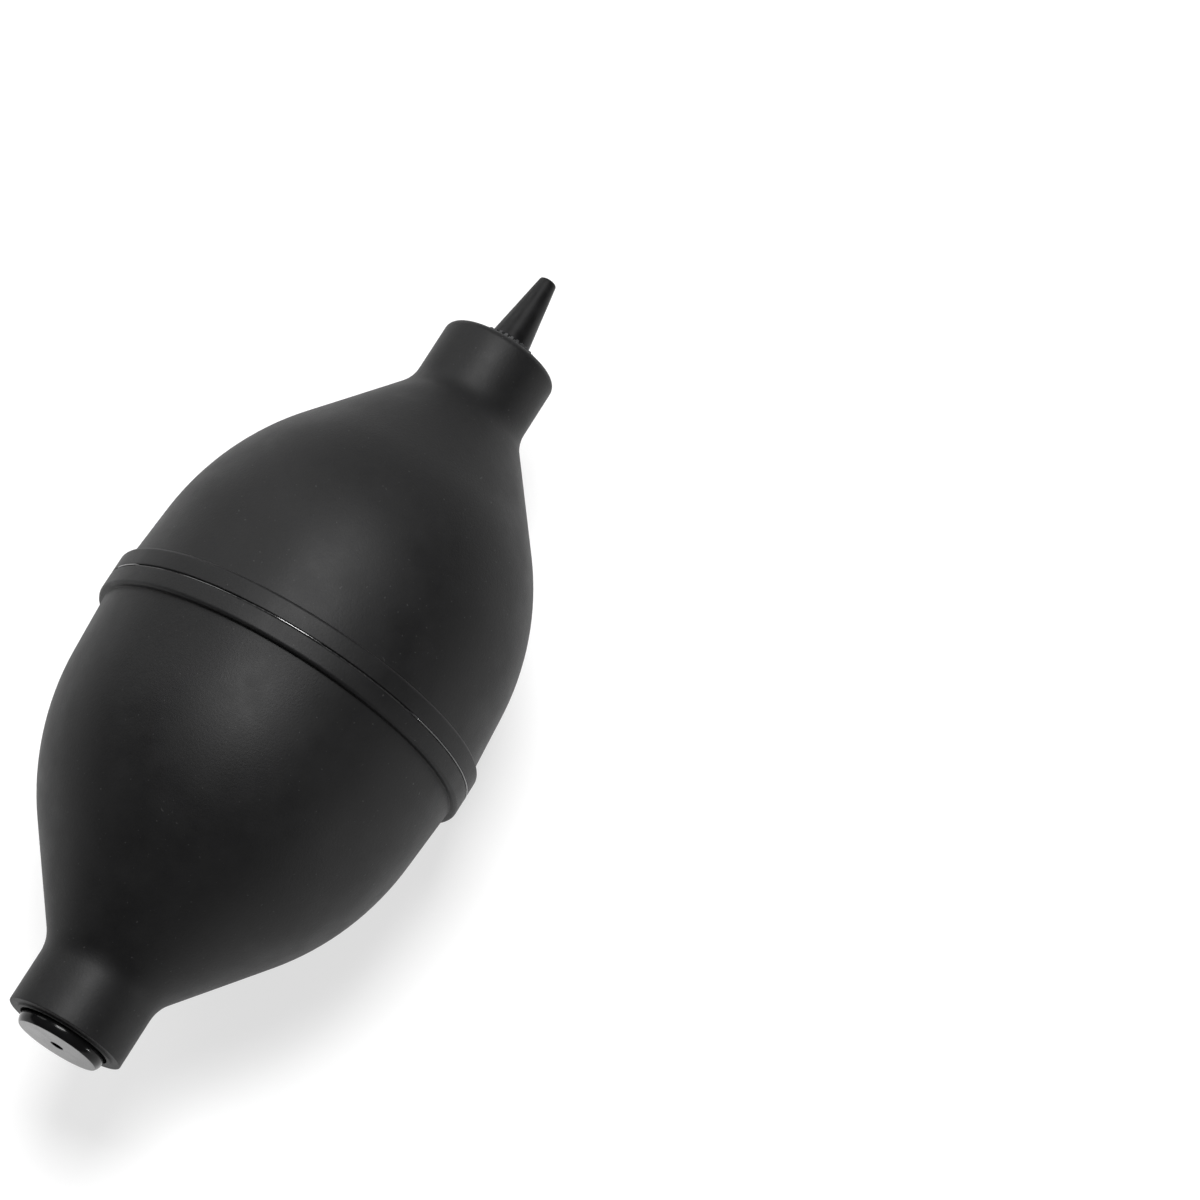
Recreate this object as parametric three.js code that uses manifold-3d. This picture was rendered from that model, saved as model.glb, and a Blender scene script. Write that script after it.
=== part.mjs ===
// Dust blower bulb: two moulded rubber halves cemented at a raised band, with a tapered nozzle in the
// front neck and an inlet check valve in the rear neck. The bulb lies on its side, resting on its band.
// Millimetres, +Z up. The bulb's axis runs along +X towards the nozzle. The origin is on the surface
// that it rests on, under the middle of its length.

import * as THREE from 'three';
import { mergeVertices } from 'three/addons/utils/BufferGeometryUtils.js';
import Module from 'manifold-3d';

// ---- Driving dimensions. Stations are distances from the plane of the seam, along the axis. ----

const BAND_RADIUS = 30;
const BAND_HALF_WIDTH = 3.05;
const BAND_EDGE_SLOPE = 0.1;
const BAND_ROUNDING = 0.6;
const SEAM_ROUNDING = 0.2;
const SHELL_RADIUS = 29; // beside the band
const WALL = 2.4;
const DRAFT_ANGLE = THREE.MathUtils.degToRad(4);
const CONE_ANGLE = THREE.MathUtils.degToRad(37);
const SHOULDER_ROUNDING = 42;
const NECK_RADIUS = 9.1;
const NECK_CORNER = 49.4; // station where the cone would meet the neck
const NECK_FILLET = 6;
const FRONT_NECK_END = 60.1;
const REAR_NECK_END = 59.4;
const FRONT_NECK_ROUNDING = 1.2;
const REAR_NECK_ROUNDING = 0.25;
const REAR_LIP_HEIGHT = 0.3; // low lip round the valve button
const REAR_LIP_RADIUS = 7.7;
const REAR_LIP_ROUNDING = 0.15;
const BORE_ROUNDING = 1.5; // where a neck's bore opens into the chamber

const BOSS_HEIGHT = 1.05; // raised middle of the front neck's end
const BOSS_RADIUS = 4.7;
const BOSS_ROUNDING = 0.3;
const BOSS_FOOT_RADIUS = 5.9;
const BOSS_FOOT_ROUNDING = 1;

const BUSHING_RADIUS = 3.6;
const BUSHING_INNER_END = 48.5;
const BUSHING_GROOVE = 54; // where the bore's groove for the barb starts
const FLANGE_RADIUS = 4.6;
const FLANGE_THICKNESS = 0.6;
const FLANGE_TEETH = 30;
const FLANGE_TOOTH_DEPTH = 0.3;
const FLANGE_LAP = 0.4; // how far the barrel's wall reaches under the flange

const NOZZLE_TIP = 73.6;
const NOZZLE_TIP_RADIUS = 1.33;
const NOZZLE_TIP_ROUNDING = 0.5;
const NOZZLE_FOOT_RADIUS = 3.25;
const NOZZLE_FOOT_CHAMFER = [0.4, 0.15]; // along the axis and inwards
const NOZZLE_SHANK_RADIUS = 2.4;
const NOZZLE_OUTLET_RADIUS = 0.6;
const NOZZLE_INLET_RADIUS = 1.5;

const BUTTON_PROUD = 2; // valve button beyond the rear neck's end
const BUTTON_RADIUS = 6.8;
const BUTTON_ROUNDING = 0.6;
const BUTTON_SINK = 0.5;
const BUTTON_CLEARANCE = 0.25;
const BARREL_RADIUS = 5;
const BARREL_INNER_END = 47.5;
const BARREL_GROOVE = 53;
const INLET_RADIUS = 1;
const VALVE_CHAMBER_RADIUS = 3.6;
const FACE_PLATE = 1.6;
const SEAT_HEIGHT = 0.4; // raised ring round the inlet that the disc closes on
const SEAT_RADIUS = 1.8;
const SEAT_FOOT_RADIUS = 2.2;
const DISC_RADIUS = 3.1;
const DISC_THICKNESS = 0.8;
const DISC_ROUNDING = 0.15;
const DISC_LIFT = 1.2;
const CAGE_LENGTH = 2;
const CAGE_RING = 0.7;
const CAGE_SPOKE = 0.9;

const BARB = 0.6; // how far a gripping ring stands out of a shank
const BARB_LENGTH = 2;
const SHANK_ROUNDING = 0.4; // at the inner ends of the nozzle and the valve
const CEMENT_HALF_THICKNESS = 0.15;
const CEMENT_INSET = 0.2; // below the band's surface

const PRESS_LENGTH = 56; // the patch of wall that a thumb pushes in, an ellipse seen from above
const PRESS_WIDTH = 38;
const PRESS_GAP = 0.3;

const GAP = 0.05; // between pieces that touch
const SEGMENTS = 32; // flats round every turned piece
const CHORD_ERROR = 0.06; // how far a rounding's straight steps may lie from its arc

const TAIL_END = REAR_NECK_END + BUTTON_PROUD;
const FLANGE_UNDERSIDE = FRONT_NECK_END + BOSS_HEIGHT + GAP;
const FLANGE_TOP = FLANGE_UNDERSIDE + FLANGE_THICKNESS;
const NOZZLE_FOOT = FLANGE_TOP + GAP;
const CHAMBER_END = TAIL_END - FACE_PLATE;
const SEAT = CHAMBER_END - SEAT_HEIGHT;
const CAGE_END = SEAT - DISC_THICKNESS - DISC_LIFT;

// ---- Solids ----

const wasm = await Module();
wasm.setup();

function toSolid(geometry) {
  const bare = geometry.clone();
  bare.deleteAttribute('normal');
  bare.deleteAttribute('uv');
  const merged = mergeVertices(bare, 1e-5);
  return new wasm.Manifold(new wasm.Mesh({
    numProp: 3,
    vertProperties: new Float32Array(merged.attributes.position.array),
    triVerts: new Uint32Array(merged.index.array),
  }));
}

function toGeometry(solid) {
  const mesh = solid.getMesh();
  const geometry = new THREE.BufferGeometry();
  geometry.setAttribute('position', new THREE.BufferAttribute(mesh.vertProperties, 3));
  geometry.setIndex(new THREE.BufferAttribute(mesh.triVerts, 1));
  return geometry;
}

// Corners are [station, radius, rounding]. Each rounding becomes an arc that is tangent to both sides.
function outline(corners) {
  const at = (i) => {
    const [station, radius] = corners[(i + corners.length) % corners.length];
    return new THREE.Vector2(radius, station);
  };
  const points = [];
  corners.forEach(([, , rounding = 0], i) => {
    const corner = at(i);
    if (rounding === 0) {
      points.push(corner);
      return;
    }
    const back = at(i - 1).sub(corner).normalize();
    const ahead = at(i + 1).sub(corner).normalize();
    const half = Math.acos(back.dot(ahead)) / 2;
    const middle = back.clone().add(ahead).normalize();
    const centre = corner.clone().addScaledVector(middle, rounding / Math.sin(half));
    const from = corner.clone().addScaledVector(back, rounding / Math.tan(half)).sub(centre);
    const to = corner.clone().addScaledVector(ahead, rounding / Math.tan(half)).sub(centre);
    const turn = Math.atan2(from.cross(to), from.dot(to));
    const stepAngle = 2 * Math.acos(1 - Math.min(0.1, CHORD_ERROR / rounding));
    const steps = Math.max(2, Math.round(Math.abs(turn) / stepAngle));
    for (let k = 0; k <= steps; k += 1) {
      points.push(from.clone().rotateAround(new THREE.Vector2(), turn * k / steps).add(centre));
    }
  });
  return points;
}

// A closed outline turned about the axis. Each flat is tangent to the round surface it stands for, and
// one flat faces straight down. The stations run towards +X, or towards -X for the rear pieces.
function turned(corners, rear = false) {
  const facetScale = 1 / Math.cos(Math.PI / SEGMENTS);
  const points = outline(corners).map((p) => new THREE.Vector2(p.x * facetScale, p.y));
  if (points[0].x > 0) points.push(points[0].clone());
  const geometry = new THREE.LatheGeometry(points, SEGMENTS, Math.PI / SEGMENTS);
  return geometry.rotateZ(rear ? Math.PI / 2 : -Math.PI / 2);
}

// ---- Rubber ----

const cone = (station) => NECK_RADIUS + Math.tan(CONE_ANGLE) * (NECK_CORNER - station);

// Where the drafted wall beside the band meets the cone, each moved inwards by the depth.
function shoulder(depth) {
  const draft = Math.tan(DRAFT_ANGLE);
  const coneDepth = depth / Math.cos(CONE_ANGLE);
  const start = SHELL_RADIUS - depth + draft * BAND_HALF_WIDTH;
  const station = (cone(0) - coneDepth - start) / (Math.tan(CONE_ANGLE) - draft);
  return [station, start - draft * station, SHOULDER_ROUNDING - depth];
}

// Where the inside of the cone meets a bore of the given radius.
function boreStart(radius) {
  const drop = radius + WALL / Math.cos(CONE_ANGLE) - NECK_RADIUS;
  return NECK_CORNER - drop / Math.tan(CONE_ANGLE);
}

function halfShell(neckEnd, boreRadius, grooveStation) {
  const seam = CEMENT_HALF_THICKNESS + GAP;
  const groove = boreRadius + BARB;
  return [
    [seam, BAND_RADIUS, SEAM_ROUNDING],
    [BAND_HALF_WIDTH, BAND_RADIUS, BAND_ROUNDING],
    [BAND_HALF_WIDTH + BAND_EDGE_SLOPE, SHELL_RADIUS],
    shoulder(0),
    [NECK_CORNER, NECK_RADIUS, NECK_FILLET],
    ...neckEnd,
    [grooveStation + BARB_LENGTH, boreRadius],
    [grooveStation + BARB_LENGTH, groove],
    [grooveStation, boreRadius],
    [boreStart(boreRadius), boreRadius, BORE_ROUNDING],
    shoulder(WALL),
    [seam, SHELL_RADIUS - WALL],
  ];
}

const bushingBore = BUSHING_RADIUS + GAP;
const frontNeckEnd = [
  [FRONT_NECK_END, NECK_RADIUS, FRONT_NECK_ROUNDING],
  [FRONT_NECK_END, BOSS_FOOT_RADIUS, BOSS_FOOT_ROUNDING],
  [FRONT_NECK_END + BOSS_HEIGHT, BOSS_RADIUS, BOSS_ROUNDING],
  [FRONT_NECK_END + BOSS_HEIGHT, bushingBore],
];
const barrelBore = BARREL_RADIUS + GAP;
const recessRadius = BUTTON_RADIUS + BUTTON_CLEARANCE;
const rearNeckEnd = [
  [REAR_NECK_END, NECK_RADIUS, REAR_NECK_ROUNDING],
  [REAR_NECK_END, REAR_LIP_RADIUS],
  [REAR_NECK_END + REAR_LIP_HEIGHT, REAR_LIP_RADIUS, REAR_LIP_ROUNDING],
  [REAR_NECK_END + REAR_LIP_HEIGHT, recessRadius],
  [REAR_NECK_END - BUTTON_SINK, recessRadius],
  [REAR_NECK_END - BUTTON_SINK, barrelBore],
];

const frontHalf = toSolid(turned(halfShell(frontNeckEnd, bushingBore, BUSHING_GROOVE)));
const rearHalf = toSolid(turned(halfShell(rearNeckEnd, barrelBore, BARREL_GROOVE), true));
const cementRing = toSolid(turned([
  [-CEMENT_HALF_THICKNESS, BAND_RADIUS - CEMENT_INSET],
  [CEMENT_HALF_THICKNESS, BAND_RADIUS - CEMENT_INSET],
  [CEMENT_HALF_THICKNESS, SHELL_RADIUS - WALL],
  [-CEMENT_HALF_THICKNESS, SHELL_RADIUS - WALL],
]));

// An upright elliptical plug over the bulb's upper side. The wall inside it is the part pushed in.
function pressPlug(margin) {
  const ellipse = new THREE.Shape();
  ellipse.absellipse(0, 0, PRESS_LENGTH / 2 + margin, PRESS_WIDTH / 2 + margin, 0, 2 * Math.PI);
  const plug = new THREE.ExtrudeGeometry(ellipse, {
    depth: BAND_RADIUS, bevelEnabled: false, curveSegments: 24,
  });
  return toSolid(plug.translate(0, 0, NECK_RADIUS));
}

const pressOpening = pressPlug(PRESS_GAP / 2);
const pressPatch = pressPlug(-PRESS_GAP / 2);
const fixedWall = (solid) => toGeometry(solid.subtract(pressOpening));
const pressedWall = (solid) => toGeometry(solid.intersect(pressPatch));

// ---- Nozzle end ----

function nozzleBushing() {
  const barbEnd = BUSHING_GROOVE + BARB_LENGTH - GAP;
  const bore = NOZZLE_SHANK_RADIUS + GAP;
  const barrel = toSolid(turned([
    [BUSHING_INNER_END, BUSHING_RADIUS],
    [BUSHING_GROOVE + GAP, BUSHING_RADIUS],
    [barbEnd, BUSHING_RADIUS + BARB - GAP],
    [barbEnd, BUSHING_RADIUS],
    [FLANGE_TOP, BUSHING_RADIUS],
    [FLANGE_TOP, bore],
    [BUSHING_INNER_END, bore],
  ]));
  const toothed = [];
  for (let k = 0; k < 2 * FLANGE_TEETH; k += 1) {
    const radius = FLANGE_RADIUS - (k % 2) * FLANGE_TOOTH_DEPTH;
    const angle = Math.PI * k / FLANGE_TEETH;
    toothed.push(new THREE.Vector2(radius * Math.cos(angle), radius * Math.sin(angle)));
  }
  const rim = new THREE.Shape(toothed);
  const hole = new THREE.Path();
  hole.absarc(0, 0, bore + FLANGE_LAP, 0, 2 * Math.PI);
  rim.holes.push(hole);
  const flange = new THREE.ExtrudeGeometry(rim, {
    depth: FLANGE_THICKNESS, bevelEnabled: false, curveSegments: 16,
  });
  flange.rotateY(Math.PI / 2).translate(FLANGE_UNDERSIDE, 0, 0);
  return toGeometry(barrel.add(toSolid(flange)));
}

const [chamferLength, chamferDepth] = NOZZLE_FOOT_CHAMFER;
const nozzleCorners = [
  [BUSHING_INNER_END, NOZZLE_SHANK_RADIUS, SHANK_ROUNDING],
  [NOZZLE_FOOT, NOZZLE_SHANK_RADIUS],
  [NOZZLE_FOOT, NOZZLE_FOOT_RADIUS],
  [NOZZLE_FOOT + chamferLength, NOZZLE_FOOT_RADIUS - chamferDepth],
  [NOZZLE_TIP, NOZZLE_TIP_RADIUS, NOZZLE_TIP_ROUNDING],
  [NOZZLE_TIP, NOZZLE_OUTLET_RADIUS],
  [NOZZLE_FOOT, NOZZLE_INLET_RADIUS],
  [BUSHING_INNER_END, NOZZLE_INLET_RADIUS],
];

// ---- Valve end ----

const buttonUnderside = REAR_NECK_END - BUTTON_SINK + GAP;
const housingCorners = [
  [BARREL_INNER_END, BARREL_RADIUS, SHANK_ROUNDING],
  [BARREL_GROOVE + GAP, BARREL_RADIUS],
  [BARREL_GROOVE + BARB_LENGTH - GAP, BARREL_RADIUS + BARB - GAP],
  [BARREL_GROOVE + BARB_LENGTH - GAP, BARREL_RADIUS],
  [buttonUnderside, BARREL_RADIUS],
  [buttonUnderside, BUTTON_RADIUS],
  [TAIL_END, BUTTON_RADIUS, BUTTON_ROUNDING],
  [TAIL_END, INLET_RADIUS],
  [SEAT, INLET_RADIUS],
  [SEAT, SEAT_RADIUS],
  [CHAMBER_END, SEAT_FOOT_RADIUS],
  [CHAMBER_END, VALVE_CHAMBER_RADIUS],
  [BARREL_INNER_END, VALVE_CHAMBER_RADIUS],
];

const discFace = SEAT - GAP;
const discCorners = [
  [discFace - DISC_THICKNESS, 0],
  [discFace - DISC_THICKNESS, DISC_RADIUS, DISC_ROUNDING],
  [discFace, DISC_RADIUS, DISC_ROUNDING],
  [discFace, 0],
];

// A ring with two crossed spokes that keeps the disc near its seat and lets air past.
function valveCage() {
  const outer = VALVE_CHAMBER_RADIUS - GAP;
  const ring = toSolid(turned([
    [CAGE_END - CAGE_LENGTH, outer],
    [CAGE_END, outer],
    [CAGE_END, outer - CAGE_RING],
    [CAGE_END - CAGE_LENGTH, outer - CAGE_RING],
  ], true));
  const spoke = new THREE.BoxGeometry(CAGE_LENGTH / 2, CAGE_SPOKE, 2 * outer - CAGE_RING);
  spoke.translate(CAGE_LENGTH / 4 - CAGE_END, 0, 0);
  const crossSpoke = spoke.clone().rotateX(Math.PI / 2);
  return toGeometry(ring.add(toSolid(spoke)).add(toSolid(crossSpoke)));
}

// ---- Assembly ----

const blower = new THREE.Group();
blower.position.set((TAIL_END - NOZZLE_TIP) / 2, 0, BAND_RADIUS);

const rubber = { color: 0x2b2b2d, roughness: 0.62, metalness: 0 };
const satinPlastic = { color: 0x1f1f21, roughness: 0.4, metalness: 0 };
const glossPlastic = { color: 0x131314, roughness: 0.15, metalness: 0 };
const cement = { color: 0x3a3a3c, roughness: 0.2, metalness: 0 };
const paleRubber = { color: 0x6a6a6c, roughness: 0.7, metalness: 0 };

function addPart(name, geometry, look) {
  const mesh = new THREE.Mesh(geometry, new THREE.MeshStandardMaterial(look));
  mesh.name = name;
  blower.add(mesh);
}

addPart('front_half_shell', fixedWall(frontHalf), rubber);
addPart('rear_half_shell', fixedWall(rearHalf), rubber);
addPart('seam_cement', fixedWall(cementRing), cement);
addPart('front_pressed_wall', pressedWall(frontHalf), rubber);
addPart('rear_pressed_wall', pressedWall(rearHalf), rubber);
addPart('seam_cement_pressed', pressedWall(cementRing), cement);
addPart('nozzle_bushing', nozzleBushing(), satinPlastic);
addPart('nozzle', turned(nozzleCorners), satinPlastic);
addPart('valve_housing', turned(housingCorners, true), glossPlastic);
addPart('valve_disc', turned(discCorners, true), paleRubber);
addPart('valve_cage', valveCage(), satinPlastic);

export default blower;
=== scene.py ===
"""Looks of the dust blower bulb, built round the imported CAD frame. Metres, +X towards the nozzle."""

import math

import bmesh
import bpy
import numpy as np
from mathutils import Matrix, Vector


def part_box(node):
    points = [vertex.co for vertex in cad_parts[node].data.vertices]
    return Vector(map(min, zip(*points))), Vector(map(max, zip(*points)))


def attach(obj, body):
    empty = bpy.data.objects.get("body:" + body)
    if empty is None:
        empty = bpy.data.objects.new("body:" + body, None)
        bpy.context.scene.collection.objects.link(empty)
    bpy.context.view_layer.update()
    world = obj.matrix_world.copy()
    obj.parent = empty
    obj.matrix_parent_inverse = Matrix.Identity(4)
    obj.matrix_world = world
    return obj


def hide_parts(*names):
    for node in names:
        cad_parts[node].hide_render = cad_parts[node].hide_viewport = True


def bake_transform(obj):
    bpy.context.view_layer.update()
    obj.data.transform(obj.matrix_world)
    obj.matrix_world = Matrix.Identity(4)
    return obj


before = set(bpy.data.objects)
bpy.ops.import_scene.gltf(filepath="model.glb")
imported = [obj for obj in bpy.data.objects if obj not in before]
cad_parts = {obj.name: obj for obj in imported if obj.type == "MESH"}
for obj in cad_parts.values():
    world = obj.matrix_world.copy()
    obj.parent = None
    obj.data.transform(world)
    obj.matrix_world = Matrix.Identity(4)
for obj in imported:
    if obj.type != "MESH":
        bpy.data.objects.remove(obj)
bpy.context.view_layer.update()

MM = 0.001

# ---- Places taken from the frame ----

seam_low, seam_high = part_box("seam_cement")
nozzle_low, nozzle_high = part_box("nozzle")
valve_low, valve_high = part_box("valve_housing")
shell_low, shell_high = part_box("front_half_shell")
disc_low, disc_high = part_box("valve_disc")

SEAM_X = (seam_low[0] + seam_high[0]) / 2
AXIS_Z = (nozzle_low[2] + nozzle_high[2]) / 2
BAND_RADIUS = (shell_high[1] - shell_low[1]) / 2 / MM
NOZZLE_TIP = (nozzle_high[0] - SEAM_X) / MM
NOZZLE_INNER_END = (nozzle_low[0] - SEAM_X) / MM
TAIL_END = (SEAM_X - valve_low[0]) / MM
BARREL_INNER_END = (SEAM_X - valve_high[0]) / MM
BUTTON_RADIUS = (valve_high[1] - valve_low[1]) / 2 / MM
DISC_OUTER = (SEAM_X - disc_low[0]) / MM
DISC_INNER = (SEAM_X - disc_high[0]) / MM
DISC_RADIUS = (disc_high[1] - disc_low[1]) / 2 / MM

# ---- Sizes in millimetres. Stations are distances from the plane of the seam, along the axis. ----

GAP = 0.05  # between pieces that touch

SEAM_HALF_GAP = 0.12
SEAM_EDGE_ROUNDING = 0.18
BAND_HALF_WIDTH = 3.05
BAND_EDGE_SLOPE = 0.1
FRONT_BAND_ROUNDING = 0.5
REAR_BAND_ROUNDING = 0.55
BAND_FOOT_ROUNDING = 0.15
SHELL_RADIUS = 29  # beside the band
WALL = 2.4
DRAFT_ANGLE = math.radians(4)
CONE_ANGLE = math.radians(37)
SHOULDER_ROUNDING = 42
NECK_RADIUS = 9.1
NECK_CORNER = 49.4  # station where the cone would meet the neck
NECK_FILLET = 6
BORE_ROUNDING = 1.5  # where a neck's bore opens into the chamber
FRONT_NECK_END = 60.1
REAR_NECK_END = 59.4
BOSS_HEIGHT = 1.05  # raised middle of the front neck's end
BOSS_RADIUS = 4.7
BOSS_FOOT = 1.3  # how far the boss's foot spreads, and its rounding
REAR_LIP_HEIGHT = 0.3  # low lip round the valve button
REAR_LIP_RADIUS = 7.7
REAR_LIP_SLOPE = 0.1

BARB = 0.6  # how far a gripping ring stands out of a shank
BARB_LENGTH = 2

BUSHING_RADIUS = 3.6
BUSHING_GROOVE = 54  # where the bore's groove for the barb starts
FLANGE_RADIUS = 4.6
FLANGE_THICKNESS = 0.6
FLANGE_TEETH = 30
FLANGE_SLOT_DEPTH = 0.8
FLANGE_SLOT_FOOT = 3.7  # radius that the slots do not reach
FLANGE_TOP = FRONT_NECK_END + BOSS_HEIGHT + GAP + FLANGE_THICKNESS

NOZZLE_FOOT = FLANGE_TOP + GAP
NOZZLE_FOOT_RADIUS = 3.25
NOZZLE_CHAMFER = (0.4, 0.15)  # along the axis and inwards
NOZZLE_TIP_RADIUS = 1.33
NOZZLE_OUTLET_RADIUS = 0.6
NOZZLE_INLET_RADIUS = 1.5
NOZZLE_SHANK_RADIUS = 2.4

BUTTON_SEAT = REAR_NECK_END - 0.5  # floor of the shallow recess under the button
BUTTON_CLEARANCE = 0.25
# The button's side is convex: it swells from the neck to its crown and leans in to the face.
BUTTON_CROWN = 0.65  # its distance from the face
BUTTON_CROWN_HEIGHT = 0.05
BUTTON_CROWN_ROUNDING = 1.7
BUTTON_SWELL = 0.25
BUTTON_LEAN = 0.5
BARREL_RADIUS = 5
BARREL_GROOVE = 53
VALVE_CHAMBER_RADIUS = 3.6
FACE_PLATE = 1.6
VALVE_CHAMBER_END = TAIL_END - FACE_PLATE
INLET_RADIUS = 1
SEAT_HEIGHT = 0.4  # raised ring round the inlet that the disc closes on
SEAT_RADIUS = 1.8
SEAT_FOOT_RADIUS = 2.2

CEMENT_HALF_THICKNESS = 0.11
CEMENT_PROUD = 0.06
CEMENT_SUNK = 0.3
CEMENT_RIPPLE = 0.012
# Arcs of the seam where the cement stands proud, in degrees: start, end, and the length of each's ramp.
CEMENT_ARCS = [
    (22, 40, 3, 3),
    (80, 105, 14, 1),
    (135.5, 197, 1, 2),
    (206, 222, 4, 2),
    (251, 262, 2, 5),
    (291, 319, 8, 3),
]

UNEVENNESS = 0.035
UNEVEN_FROM = 4  # station where the unevenness starts
UNEVEN_RAMP = 10

MOULD_LINE_ANGLE = 0.6
MOULD_LINE_HEIGHT = 0.035
MOULD_LINE_WIDTH = 0.1

SHARP_ANGLE = math.radians(38)  # edges between faces that meet at more than this are kept sharp

# ---- Camera ----

CAMERA_AZIMUTH = math.radians(-59.6)
CAMERA_ELEVATION = math.radians(69.7)
CAMERA_DISTANCE = 0.74
CAMERA_LENS = 155
CAMERA_SENSOR = 36
FRAMING_RIGHT = 0.0448  # the bulb's band is this far left of and below the middle of the picture
FRAMING_UP = 0.0126


def add_camera():
    a, e = CAMERA_AZIMUTH, CAMERA_ELEVATION
    right = Vector((math.cos(a), math.sin(a), 0))
    forward = Vector((-math.sin(a) * math.cos(e), math.cos(a) * math.cos(e), -math.sin(e)))
    up = right.cross(forward)
    aim = Vector((SEAM_X, 0, AXIS_Z)) + FRAMING_RIGHT * right + FRAMING_UP * up
    camera = bpy.data.objects.new("camera", bpy.data.cameras.new("camera"))
    camera.data.lens = CAMERA_LENS
    camera.data.sensor_width = CAMERA_SENSOR
    camera.location = aim - CAMERA_DISTANCE * forward
    camera.rotation_euler = forward.to_track_quat("-Z", "Y").to_euler()
    bpy.context.scene.collection.objects.link(camera)
    bpy.context.scene.camera = camera


# ---- Turned meshes ----

def arc(back, corner, ahead, rounding, degrees_per_step):
    """Points of the arc that rounds one corner of an outline."""
    a = (back - corner) / np.linalg.norm(back - corner)
    b = (ahead - corner) / np.linalg.norm(ahead - corner)
    half = math.acos(np.clip(a @ b, -1, 1)) / 2
    middle = (a + b) / np.linalg.norm(a + b)
    centre = corner + middle * rounding / math.sin(half)
    start = corner + a * rounding / math.tan(half) - centre
    end = corner + b * rounding / math.tan(half) - centre
    turn = math.atan2(start[0] * end[1] - start[1] * end[0], start @ end)
    steps = max(3, round(math.degrees(abs(turn)) / degrees_per_step))
    points = []
    for k in range(steps + 1):
        c, s = math.cos(turn * k / steps), math.sin(turn * k / steps)
        points.append(centre + np.array([c * start[0] - s * start[1], s * start[0] + c * start[1]]))
    return points


def outline(corners, longest, closed):
    """Corners are (station, radius, rounding); straight stretches are cut to at most `longest`."""
    at = [np.array(c[:2], float) for c in corners]
    points = []
    for i, corner in enumerate(corners):
        rounding = corner[2] if len(corner) > 2 else 0
        if rounding:
            degrees_per_step = 2 if rounding > 20 else 6
            points += arc(at[i - 1], at[i], at[(i + 1) % len(at)], rounding, degrees_per_step)
        else:
            points.append(at[i])
    fine = []
    count = len(points) if closed else len(points) - 1
    for i in range(count):
        p, q = points[i], points[(i + 1) % len(points)]
        cuts = max(1, math.ceil(np.linalg.norm(q - p) / longest))
        fine += [p + (q - p) * k / cuts for k in range(cuts)]
    if not closed:
        fine.append(points[-1])
    return np.array(fine)


def turned(name, corners, rear=False, around=192, longest=1.0, shape=None):
    """A mesh turned about the bulb's axis. shape(station, radius, angle) may change the radius."""
    closed = corners[0][1] > 0
    points = outline(corners, longest, closed)
    angles = np.arange(around) * 2 * math.pi / around
    station = np.repeat(points[:, 0][:, None], around, 1)
    radius = np.repeat(points[:, 1][:, None], around, 1)
    angle = np.repeat(angles[None, :], len(points), 0)
    if shape:
        radius = shape(station, radius, angle)
    side = -1 if rear else 1
    x = SEAM_X + side * station * MM
    y = radius * np.cos(angle) * MM
    z = AXIS_Z + radius * np.sin(angle) * MM
    vertices = np.stack([x, y, z], -1).reshape(-1, 3)
    rows = len(points) if closed else len(points) - 1
    faces = []
    for i in range(rows):
        j = (i + 1) % len(points)
        for k in range(around):
            m = (k + 1) % around
            quad = [i * around + k, i * around + m, j * around + m, j * around + k]
            faces.append(quad if side > 0 else quad[::-1])
    mesh = bpy.data.meshes.new(name)
    mesh.from_pydata(vertices.tolist(), [], faces)
    if not closed:
        weld(mesh)
    mesh.update()
    mesh.shade_smooth()
    mesh.set_sharp_from_angle(angle=SHARP_ANGLE)
    piece = bpy.data.objects.new(name, mesh)
    bpy.context.scene.collection.objects.link(piece)
    return piece


def weld(mesh):
    """Closes a mesh whose outline starts and ends on the axis."""
    work = bmesh.new()
    work.from_mesh(mesh)
    bmesh.ops.remove_doubles(work, verts=work.verts, dist=1e-7)
    work.to_mesh(mesh)
    work.free()


# ---- Outlines: each corner is (station, radius) or (station, radius, rounding) ----

def cone(station):
    return NECK_RADIUS + math.tan(CONE_ANGLE) * (NECK_CORNER - station)


def shoulder(depth):
    """Where the drafted wall beside the band meets the cone, each moved inwards by the depth."""
    draft = math.tan(DRAFT_ANGLE)
    start = SHELL_RADIUS - depth + draft * BAND_HALF_WIDTH
    station = (cone(0) - depth / math.cos(CONE_ANGLE) - start) / (math.tan(CONE_ANGLE) - draft)
    return (station, start - draft * station, SHOULDER_ROUNDING - depth)


def bore_start(radius):
    """Where the inside of the cone meets a bore of the given radius."""
    return NECK_CORNER - (radius + WALL / math.cos(CONE_ANGLE) - NECK_RADIUS) / math.tan(CONE_ANGLE)


def half_shell(neck_end, bore_radius, groove, band_rounding):
    """One rubber half: band, shoulder, cone, neck, the bore with its groove, and the inside wall."""
    return [
        (SEAM_HALF_GAP, BAND_RADIUS, SEAM_EDGE_ROUNDING),
        (BAND_HALF_WIDTH, BAND_RADIUS, band_rounding),
        (BAND_HALF_WIDTH + BAND_EDGE_SLOPE, SHELL_RADIUS, BAND_FOOT_ROUNDING),
        shoulder(0),
        (NECK_CORNER, NECK_RADIUS, NECK_FILLET),
        *neck_end,
        (groove + BARB_LENGTH, bore_radius),
        (groove + BARB_LENGTH, bore_radius + BARB),
        (groove, bore_radius),
        (bore_start(bore_radius), bore_radius, BORE_ROUNDING),
        shoulder(WALL),
        (SEAM_HALF_GAP, SHELL_RADIUS - WALL),
    ]


def barb(groove, radius):
    """The ring on a shank that grips the groove in its bore."""
    return [
        (groove + GAP, radius),
        (groove + BARB_LENGTH - GAP, radius + BARB - GAP),
        (groove + BARB_LENGTH - GAP, radius),
    ]


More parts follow.
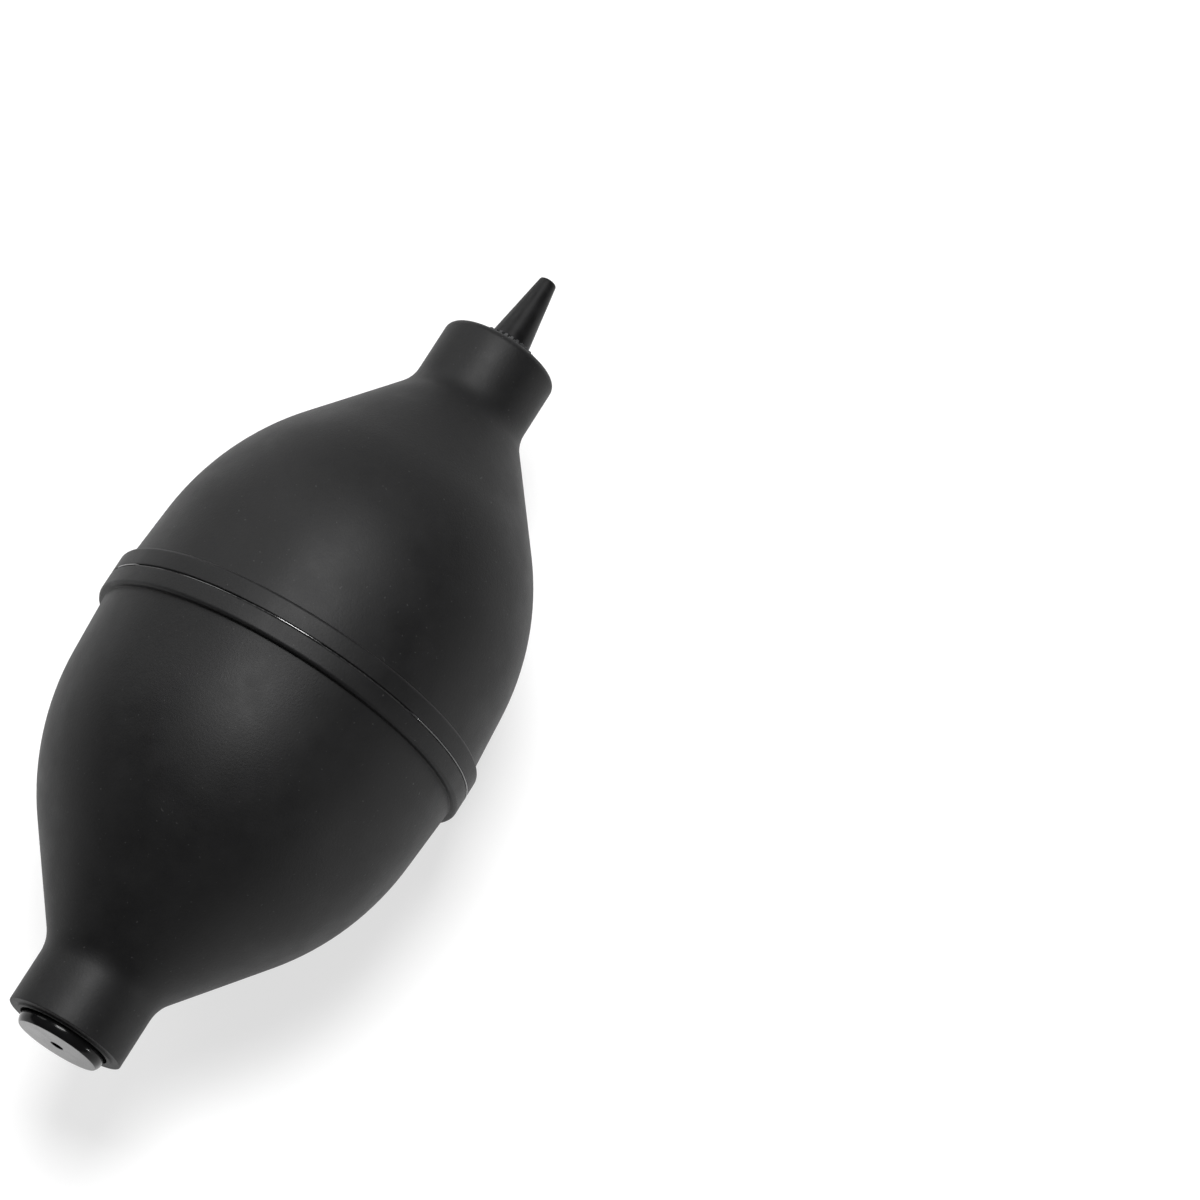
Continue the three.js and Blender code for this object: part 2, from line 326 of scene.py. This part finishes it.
FRONT_BORE = BUSHING_RADIUS + GAP
FRONT_NECK = [
    (FRONT_NECK_END, NECK_RADIUS, 1.25),
    (FRONT_NECK_END, BOSS_RADIUS + BOSS_FOOT, BOSS_FOOT),
    (FRONT_NECK_END + BOSS_HEIGHT, BOSS_RADIUS, 0.2),
    (FRONT_NECK_END + BOSS_HEIGHT, FRONT_BORE),
]
REAR_BORE = BARREL_RADIUS + GAP
REAR_NECK = [
    (REAR_NECK_END, NECK_RADIUS, 0.18),
    (REAR_NECK_END, REAR_LIP_RADIUS + REAR_LIP_SLOPE, 0.1),
    (REAR_NECK_END + REAR_LIP_HEIGHT, REAR_LIP_RADIUS, 0.15),
    (REAR_NECK_END + REAR_LIP_HEIGHT, BUTTON_RADIUS + BUTTON_CLEARANCE, 0.1),
    (BUTTON_SEAT, BUTTON_RADIUS + BUTTON_CLEARANCE),
    (BUTTON_SEAT, REAR_BORE),
]
CEMENT_BEAD = [
    (-CEMENT_HALF_THICKNESS, BAND_RADIUS, 0.09),
    (CEMENT_HALF_THICKNESS, BAND_RADIUS, 0.09),
    (CEMENT_HALF_THICKNESS, SHELL_RADIUS - WALL),
    (-CEMENT_HALF_THICKNESS, SHELL_RADIUS - WALL),
]
BUSHING = [
    (NOZZLE_INNER_END, BUSHING_RADIUS, 0.3),
    *barb(BUSHING_GROOVE, BUSHING_RADIUS),
    (FLANGE_TOP - FLANGE_THICKNESS, BUSHING_RADIUS),
    (FLANGE_TOP - FLANGE_THICKNESS, FLANGE_RADIUS, 0.08),
    (FLANGE_TOP, FLANGE_RADIUS, 0.12),
    (FLANGE_TOP, NOZZLE_SHANK_RADIUS + GAP),
    (NOZZLE_INNER_END, NOZZLE_SHANK_RADIUS + GAP),
]
NOZZLE = [
    (NOZZLE_INNER_END, NOZZLE_SHANK_RADIUS, 0.4),
    (NOZZLE_FOOT, NOZZLE_SHANK_RADIUS),
    (NOZZLE_FOOT, NOZZLE_FOOT_RADIUS, 0.12),
    (NOZZLE_FOOT + NOZZLE_CHAMFER[0], NOZZLE_FOOT_RADIUS - NOZZLE_CHAMFER[1], 0.3),
    (NOZZLE_TIP, NOZZLE_TIP_RADIUS, 0.52),
    (NOZZLE_TIP, NOZZLE_OUTLET_RADIUS, 0.1),
    (NOZZLE_FOOT, NOZZLE_INLET_RADIUS),
    (NOZZLE_INNER_END, NOZZLE_INLET_RADIUS),
]
VALVE_HOUSING = [
    (BARREL_INNER_END, BARREL_RADIUS, 0.4),
    *barb(BARREL_GROOVE, BARREL_RADIUS),
    (BUTTON_SEAT + GAP, BARREL_RADIUS),
    (BUTTON_SEAT + GAP, BUTTON_RADIUS - BUTTON_SWELL, 0.15),
    (TAIL_END - BUTTON_CROWN, BUTTON_RADIUS + BUTTON_CROWN_HEIGHT, BUTTON_CROWN_ROUNDING),
    (TAIL_END, BUTTON_RADIUS - BUTTON_LEAN, 0.12),
    (TAIL_END, INLET_RADIUS, 0.15),
    (VALVE_CHAMBER_END - SEAT_HEIGHT, INLET_RADIUS),
    (VALVE_CHAMBER_END - SEAT_HEIGHT, SEAT_RADIUS, 0.1),
    (VALVE_CHAMBER_END, SEAT_FOOT_RADIUS),
    (VALVE_CHAMBER_END, VALVE_CHAMBER_RADIUS, 0.3),
    (BARREL_INNER_END, VALVE_CHAMBER_RADIUS),
]
DISC = [
    (DISC_INNER, 0),
    (DISC_INNER, DISC_RADIUS, 0.2),
    (DISC_OUTER, DISC_RADIUS, 0.2),
    (DISC_OUTER, 0),
]


# ---- Surface detail: each gives the new radius at a station and angle ----

def uneven(station, radius, angle):
    """A slow unevenness of the rubber, away from the band, the necks and the bores."""
    wave = np.sin(3 * angle + 0.09 * station) + 0.6 * np.sin(5 * angle - 0.13 * station + 1)
    share = (radius > NECK_RADIUS + 1) * np.clip((station - UNEVEN_FROM) / UNEVEN_RAMP, 0, 1)
    return radius + UNEVENNESS * wave * share


def cement_bead(station, radius, angle):
    """The cement's edge, proud on some arcs of the seam and sunk between them."""
    degrees = np.degrees(angle) % 360
    raised = np.zeros_like(degrees)
    for start, end, ramp_in, ramp_out in CEMENT_ARCS:
        inside = np.minimum((degrees - start) / ramp_in, (end - degrees) / ramp_out)
        raised = np.maximum(raised, np.clip(inside, 0, 1))
    lift = -CEMENT_SUNK + (CEMENT_SUNK + CEMENT_PROUD) * raised + CEMENT_RIPPLE * np.sin(37 * angle)
    return np.where(radius > BAND_RADIUS - 1, radius + lift, radius)


def serrated(station, radius, angle):
    """Slots round the bushing's rim, which narrow to nothing at their foot."""
    slot = np.clip((np.cos(FLANGE_TEETH * angle) + 0.1) / 0.3, 0, 1)
    outwards = np.clip((radius - FLANGE_SLOT_FOOT) / (FLANGE_RADIUS - FLANGE_SLOT_FOOT), 0, 1)
    rim = station > FLANGE_TOP - FLANGE_THICKNESS - GAP
    return radius - FLANGE_SLOT_DEPTH * slot * outwards * rim


def mould_line(station, radius, angle):
    """Two fine raised lines where the nozzle's mould closed."""
    line = np.exp(-((np.sin(angle - MOULD_LINE_ANGLE) * radius / MOULD_LINE_WIDTH) ** 2))
    outside = (radius > 1) & (station > FLANGE_TOP)
    return np.where(outside, radius + MOULD_LINE_HEIGHT * line, radius)


# ---- Materials ----

class Nodes:
    """A short way to lay out one procedural material."""

    MIX_FACTOR, MIX_A, MIX_B, MIX_RESULT = 0, 6, 7, 2  # sockets of a Mix node that mixes colours

    def __init__(self, name):
        self.material = bpy.data.materials.new(name)
        self.material.use_nodes = True
        self.tree = self.material.node_tree
        self.shader = self.tree.nodes["Principled BSDF"]
        self.place = self.tree.nodes.new("ShaderNodeTexCoord").outputs["Object"]

    def fill(self, socket, value):
        """Sets an input to a number or colour, or links it to another node's output."""
        if isinstance(value, bpy.types.NodeSocket):
            self.tree.links.new(value, socket)
        else:
            socket.default_value = (*value, 1) if isinstance(value, tuple) else value

    def fill_named(self, node, inputs):
        for name, value in inputs.items():
            self.fill(node.inputs[name.replace("_", " ")], value)

    def add(self, kind, **inputs):
        node = self.tree.nodes.new(kind)
        self.fill_named(node, inputs)
        return node

    def noise(self, size_mm, detail=2, roughness=0.5):
        """Noise whose lumps are about size_mm across, from 0 to 1."""
        scale = 1 / (size_mm * MM)
        node = self.add("ShaderNodeTexNoise", Vector=self.place, Scale=scale, Detail=detail,
                        Roughness=roughness)
        return node.outputs["Fac"]

    def spread(self, value, low, high, from_low=0.3, from_high=0.7):
        """Maps a value between from_low and from_high to one between low and high."""
        node = self.add("ShaderNodeMapRange", Value=value, From_Min=from_low, From_Max=from_high,
                        To_Min=low, To_Max=high)
        return node.outputs["Result"]

    def blend_colours(self, factor, first, second):
        node = self.tree.nodes.new("ShaderNodeMix")
        node.data_type = "RGBA"
        self.fill(node.inputs[self.MIX_FACTOR], factor)
        self.fill(node.inputs[self.MIX_A], first)
        self.fill(node.inputs[self.MIX_B], second)
        return node.outputs[self.MIX_RESULT]

    def bump(self, height, depth_mm, strength, **under):
        """A bumped normal. Normal=... lays it over another one."""
        node = self.add("ShaderNodeBump", Height=height, Distance=depth_mm * MM, Strength=strength, **under)
        return node.outputs["Normal"]

    def finish(self, **inputs):
        self.fill_named(self.shader, inputs)
        return self.material


def rubber_material():
    """Matte moulded rubber: mottled, with a faint bloom, a fine grain and specks of dust."""
    m = Nodes("moulded_rubber")
    mottle = m.noise(5, detail=4, roughness=0.6)
    bloom = m.noise(22, detail=3)
    grain = m.noise(0.4, detail=4, roughness=0.7)
    dust = m.noise(0.5, detail=1)
    mottled = m.blend_colours(m.spread(mottle, 0, 1), (0.0052, 0.0052, 0.0055), (0.0078, 0.0078, 0.0081))
    bloomed = m.blend_colours(m.spread(bloom, 0, 0.35, 0.45, 0.8), mottled, (0.0115, 0.0115, 0.012))
    dusty = m.blend_colours(m.spread(dust, 0, 1, 0.74, 0.8), bloomed, (0.03, 0.03, 0.03))
    skin = m.bump(mottle, depth_mm=0.02, strength=0.5)
    return m.finish(
        Base_Color=dusty,
        Roughness=m.spread(mottle, 0.5, 0.58),
        Normal=m.bump(grain, depth_mm=0.04, strength=0.8, Normal=skin),
        Specular_IOR_Level=0.26,
    )


def plastic_material(name, shade, roughness, grain_mm, depth_mm, specular=0.5, coat=0):
    """Moulded plastic, a little patchy in shade and gloss, with a fine grain and perhaps a clear coat."""
    m = Nodes(name)
    patch = m.noise(2.5, detail=3)
    grain = m.noise(grain_mm, detail=2)
    tint = (shade, shade, 1.05 * shade)
    light = tuple(1.5 * c for c in tint)
    return m.finish(
        Base_Color=m.blend_colours(m.spread(patch, 0, 1), tint, light),
        Roughness=m.spread(patch, 0.85 * roughness, 1.2 * roughness),
        Normal=m.bump(grain, depth_mm, strength=0.5),
        Specular_IOR_Level=specular,
        Coat_Weight=coat,
        Coat_Roughness=0.13,
        Coat_IOR=1.3,
    )


def cement_material():
    m = Nodes("cured_cement")
    lumps = m.noise(0.6, detail=3)
    return m.finish(
        Base_Color=m.blend_colours(m.spread(lumps, 0, 1), (0.02, 0.02, 0.021), (0.05, 0.05, 0.05)),
        Roughness=m.spread(lumps, 0.1, 0.2),
        Normal=m.bump(lumps, depth_mm=0.004, strength=0.4),
        Specular_IOR_Level=0.8,
    )


def floor_material():
    """Pale paper that glows a little, so that its shadows stay faint."""
    m = Nodes("studio_floor")
    wide = m.noise(90)
    fine = m.noise(3)
    return m.finish(
        Base_Color=m.blend_colours(m.spread(wide, 0, 1), (0.3, 0.3, 0.3), (0.32, 0.32, 0.32)),
        Roughness=m.spread(wide, 0.55, 0.62),
        Normal=m.bump(fine, depth_mm=0.01, strength=0.1),
        Emission_Color=(1, 1, 1),
        Emission_Strength=0.7,
    )


# ---- Pieces ----


def add_soft(piece, material, slot, *nodes):
    """A rubber piece: gives it its material, bakes its place into its mesh and hides the CAD parts that it
    replaces.
    """
    piece.data.materials.append(material)
    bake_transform(piece)
    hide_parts(*nodes)


def add_stiff(piece, material, slot, body, *nodes):
    piece.data.materials.append(material)
    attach(piece, body)
    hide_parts(*nodes)


def add_bulb():
    front_outline = half_shell(FRONT_NECK, FRONT_BORE, BUSHING_GROOVE, FRONT_BAND_ROUNDING)
    rear_outline = half_shell(REAR_NECK, REAR_BORE, BARREL_GROOVE, REAR_BAND_ROUNDING)
    front = turned("front_rubber_half", front_outline, shape=uneven)
    rear = turned("rear_rubber_half", rear_outline, rear=True, shape=uneven)
    bead = turned("seam_cement_bead", CEMENT_BEAD, around=720, longest=0.8, shape=cement_bead)
    rubber = rubber_material()
    add_soft(front, rubber, "bulb_rubber", "front_half_shell", "front_pressed_wall")
    add_soft(rear, rubber, "bulb_rubber", "rear_half_shell", "rear_pressed_wall")
    add_soft(bead, cement_material(), "seam_cement", "seam_cement", "seam_cement_pressed")


def add_nozzle_end():
    bushing = turned("serrated_bushing", BUSHING, around=14 * FLANGE_TEETH, longest=0.8, shape=serrated)
    bushing_plastic = plastic_material("bushing_plastic", shade=0.03, roughness=0.6, grain_mm=0.2,
                                       depth_mm=0.004, specular=0.3)
    add_stiff(bushing, bushing_plastic, "bushing_plastic", "root", "nozzle_bushing")
    nozzle = turned("tapered_nozzle", NOZZLE, around=288, longest=0.5, shape=mould_line)
    nozzle_plastic = plastic_material("nozzle_plastic", shade=0.005, roughness=0.42, grain_mm=0.25,
                                      depth_mm=0.004, specular=0.2)
    add_stiff(nozzle, nozzle_plastic, "nozzle_plastic", "root", "nozzle")


def add_valve_end():
    housing = turned("valve_button", VALVE_HOUSING, rear=True, around=224, longest=0.6)
    valve_plastic = plastic_material("valve_plastic", shade=0.005, roughness=0.2, grain_mm=0.3,
                                     depth_mm=0.002, specular=0.09, coat=0.4)
    add_stiff(housing, valve_plastic, "valve_plastic", "root", "valve_housing")
    disc = turned("valve_flap_disc", DISC, rear=True, around=128, longest=0.3)
    disc_rubber = plastic_material("disc_rubber", shade=0.02, roughness=0.6, grain_mm=0.2, depth_mm=0.006)
    add_stiff(disc, disc_rubber, "disc_rubber", "inlet_disc", "valve_disc")
    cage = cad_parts["valve_cage"]
    cage.data.materials.clear()
    cage.data.materials.append(
        plastic_material("cage_plastic", shade=0.02, roughness=0.4, grain_mm=0.2, depth_mm=0.004))


# ---- Floor and light ----

FLOOR_REACH = 3.0
WORLD_STRENGTH = 0.045
# Softboxes that face the bulb: name, direction from it, distance and side in metres, and watts.
SOFTBOXES = [
    ("top_softbox", (0.25, 0.06, 0.96), 1.5, 0.6, 26),
    ("left_softbox", (0.4, 0.76, 0.48), 1.6, 0.9, 8),
    ("right_lamp", (-0.1, -0.985, 0.08), 1.8, 0.1, 3.5),
    ("nozzle_side_softbox", (0.97, 0, 0.22), 1.6, 0.8, 1.2),
]


def add_floor():
    r = FLOOR_REACH
    mesh = bpy.data.meshes.new("studio_floor")
    mesh.from_pydata([(-r, -r, 0), (r, -r, 0), (r, r, 0), (-r, r, 0)], [], [(0, 1, 2, 3)])
    mesh.materials.append(floor_material())
    floor = bpy.data.objects.new("studio_floor", mesh)
    bpy.context.scene.collection.objects.link(floor)


def add_softbox(name, toward, distance, side, watts):
    light = bpy.data.lights.new(name, "AREA")
    light.shape = "SQUARE"
    light.size = side
    light.energy = watts
    box = bpy.data.objects.new(name, light)
    direction = Vector(toward).normalized()
    box.location = Vector((SEAM_X, 0, AXIS_Z)) + direction * distance
    box.rotation_euler = direction.to_track_quat("Z", "Y").to_euler()
    bpy.context.scene.collection.objects.link(box)


def add_light():
    world = bpy.data.worlds.new("studio")
    world.use_nodes = True
    background = world.node_tree.nodes["Background"]
    background.inputs["Color"].default_value = (1, 1, 1, 1)
    background.inputs["Strength"].default_value = WORLD_STRENGTH
    bpy.context.scene.world = world
    for softbox in SOFTBOXES:
        add_softbox(*softbox)


add_camera()
bpy.context.scene.view_settings.view_transform = "Standard"
add_bulb()
add_nozzle_end()
add_valve_end()
add_floor()
add_light()
